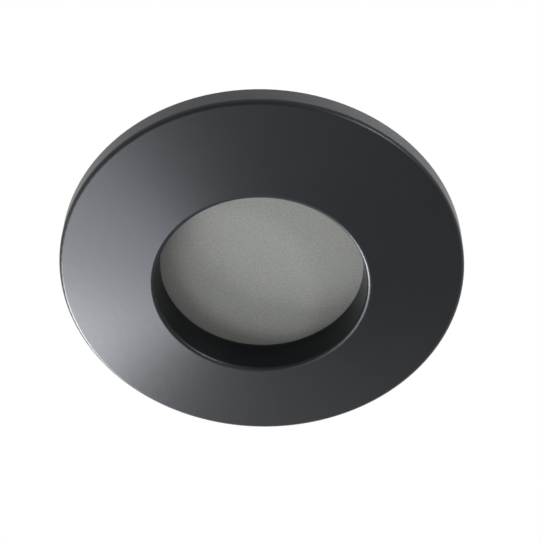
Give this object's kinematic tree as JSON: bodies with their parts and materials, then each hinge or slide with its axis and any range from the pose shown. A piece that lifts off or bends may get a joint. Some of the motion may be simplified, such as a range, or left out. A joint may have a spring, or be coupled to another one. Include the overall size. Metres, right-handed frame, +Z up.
{
  "type": "soffit downlight",
  "caption": "Round recessed downlight with a twist-off conical trim, frosted glass, spring clips, finned LED body and a cable gland.",
  "frame": {"origin": "centre of the gasket's upper face, where the light meets the soffit", "axes": "+Z up into the ceiling void, the light shines towards -Z, the clips are on +X and -X"},
  "size_m": [0.085, 0.085, 0.0491],
  "materials": {
    "black_powder_coat": "black satin powder coat with a fine texture",
    "black_silicone": "moulded black silicone",
    "frosted_glass": "frosted toughened glass",
    "spring_steel": "drawn spring steel",
    "stainless_steel": "stainless steel",
    "black_cast_frame": "black coated casting",
    "foam_rubber": "closed-cell foam",
    "zinc_plated_sheet": "zinc-plated sheet steel",
    "clip_rubber": "soft dipped sleeve",
    "cast_aluminium": "plain cast aluminium",
    "thermal_silicone": "soft grey pad",
    "led_board_white": "white solder mask",
    "led_phosphor": "yellow phosphor",
    "white_reflector": "white moulding",
    "nylon": "natural nylon",
    "tinned_copper": "tinned pins",
    "circuit_board": "green solder mask",
    "ferrite": "ferrite drum",
    "capacitor_sleeve": "plain dark blue sleeve",
    "chip_resin": "black moulding resin",
    "terminal_plastic": "pale grey moulding",
    "black_cover": "black coated cover",
    "gland_nylon": "black nylon"
  },
  "bodies": {
    "housing": {"mounting_frame": "black_cast_frame", "bayonet_pins": "stainless_steel", "soffit_gasket": "foam_rubber", "trim_seal": "black_silicone", "clip_rivets": "stainless_steel", "clip_bracket_left": "zinc_plated_sheet", "clip_bracket_right": "zinc_plated_sheet", "clip_pin_left": "stainless_steel", "clip_pin_right": "stainless_steel", "clip_spring_left": "spring_steel", "clip_spring_right": "spring_steel", "frame_seal": "black_silicone", "heat_sink": "cast_aluminium", "heat_sink_screws": "stainless_steel", "thermal_pad": "thermal_silicone", "led_board": "led_board_white", "led_chips": "led_phosphor", "reflector": "white_reflector", "led_board_screws": "stainless_steel", "link_bush": "nylon", "link_pins": "tinned_copper", "driver_tray": "nylon", "driver_board": "circuit_board", "driver_inductor": "ferrite", "driver_capacitor": "capacitor_sleeve", "driver_chips": "chip_resin", "terminal_block": "terminal_plastic", "terminal_screws": "stainless_steel", "cover_seal": "black_silicone", "rear_cover": "black_cover", "cover_screws": "stainless_steel", "gland_washer": "black_silicone", "gland_body": "gland_nylon", "gland_locknut": "gland_nylon", "gland_seal": "black_silicone", "gland_nut": "gland_nylon"},
    "lens": {"front_glass": "frosted_glass", "lens_seal": "black_silicone"},
    "trim": {"trim_ring": "black_powder_coat", "glass_snap_ring": "spring_steel"},
    "clip_left": {"clip_arm_left": "zinc_plated_sheet", "clip_sleeve_left": "clip_rubber"},
    "clip_right": {"clip_arm_right": "zinc_plated_sheet", "clip_sleeve_right": "clip_rubber"}
  },
  "joints": [
    {"name": "trim_drop", "type": "slide", "parent": "housing", "child": "lens", "axis": [0, 0, -1], "range_m": [0, 0.006]},
    {"name": "trim_twist", "type": "hinge", "parent": "lens", "child": "trim", "pos_m": [0, 0, 0], "axis": [0, 0, -1], "range_deg": [0, 60]},
    {"name": "clip_left_fold", "type": "hinge", "parent": "housing", "child": "clip_left", "pos_m": [-0.0328, 0, 0.016], "axis": [0, 1, 0], "range_deg": [0, 140], "stiffness_Nm_per_rad": 0.03, "springref_deg": -28.65, "deforming": ["clip_spring_left"]},
    {"name": "clip_right_fold", "type": "hinge", "parent": "housing", "child": "clip_right", "pos_m": [0.0328, 0, 0.016], "axis": [0, -1, 0], "range_deg": [0, 140], "stiffness_Nm_per_rad": 0.03, "springref_deg": -28.65, "deforming": ["clip_spring_right"]}
  ],
  "couplings": [
    {"joint": "trim_drop", "follows": "trim_twist", "m_per_rad": 0.0057296}
  ]
}
